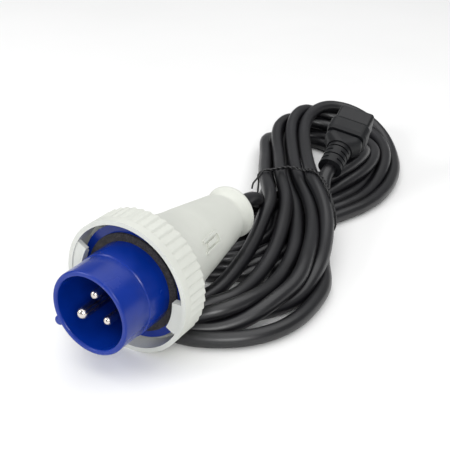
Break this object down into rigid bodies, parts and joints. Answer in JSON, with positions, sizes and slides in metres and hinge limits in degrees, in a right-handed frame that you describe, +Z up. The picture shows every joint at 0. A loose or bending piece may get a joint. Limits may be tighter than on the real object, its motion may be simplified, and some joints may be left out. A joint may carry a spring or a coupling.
{
  "type": "power cable",
  "caption": "Round industrial pin plug with bayonet locking ring and screwed gland, on a tied hank of black rubber cable that ends in a moulded appliance connector.",
  "frame": {"origin": "on the floor under the middle of the plug, which stands on its locking ring", "axes": "+Y runs along the plug from its mouth to its gland, +Z is up, +X is to the right of someone who looks into the gland end from the mouth"},
  "size_m": [0.192, 0.4485, 0.094],
  "materials": {
    "blue_nylon": "satin moulded",
    "grey_nylon": "fine spark-eroded",
    "nickel_brass": "turned and nickel plated",
    "carrier_plastic": "moulded",
    "foam_rubber": "open-cell foam",
    "seal_rubber": "moulded",
    "slip_plastic": "moulded",
    "wire_earth": "extruded",
    "wire_line": "extruded",
    "wire_neutral": "extruded",
    "cable_rubber": "extruded satin",
    "connector_pvc": "fine moulded grain",
    "insert_plastic": "moulded",
    "contact_brass": "stamped strip",
    "tie_wire": "coated wire"
  },
  "bodies": {
    "plug": {"front_sleeve": "blue_nylon", "contact_carrier": "carrier_plastic", "earth_pin": "nickel_brass", "line_pin": "nickel_brass", "neutral_pin": "nickel_brass", "terminal_screws": "nickel_brass", "wire_ferrules": "nickel_brass", "earth_wire": "wire_earth", "line_wire": "wire_line", "neutral_wire": "wire_neutral", "flange_gasket": "foam_rubber", "rear_housing": "grey_nylon", "housing_o_ring": "seal_rubber", "gland_seal": "seal_rubber", "cord_lead": "cable_rubber", "cord_hank": "cable_rubber", "cord_tail": "cable_rubber", "twist_tie": "tie_wire", "connector_body": "connector_pvc", "connector_insert": "insert_plastic", "connector_earth_contact": "contact_brass", "connector_line_contact": "contact_brass", "connector_neutral_contact": "contact_brass"},
    "ring": {"locking_ring": "grey_nylon"},
    "slip": {"slip_ring": "slip_plastic"},
    "nut": {"gland_nut": "grey_nylon"}
  },
  "joints": [
    {"name": "ring_turn", "type": "hinge", "parent": "plug", "child": "ring", "pos_m": [0, -0.0297, 0.047], "axis": [0, 1, 0], "range_deg": [0, 60]},
    {"name": "nut_travel", "type": "slide", "parent": "plug", "child": "slip", "axis": [0, 1, 0], "range_m": [0, 0.00401]},
    {"name": "nut_turn", "type": "hinge", "parent": "slip", "child": "nut", "pos_m": [0, 0.0675, 0.047], "axis": [0, 1, 0], "range_deg": [0, 720]}
  ],
  "couplings": [
    {"joint": "nut_travel", "follows": "nut_turn", "m_per_rad": 0.00031831}
  ]
}
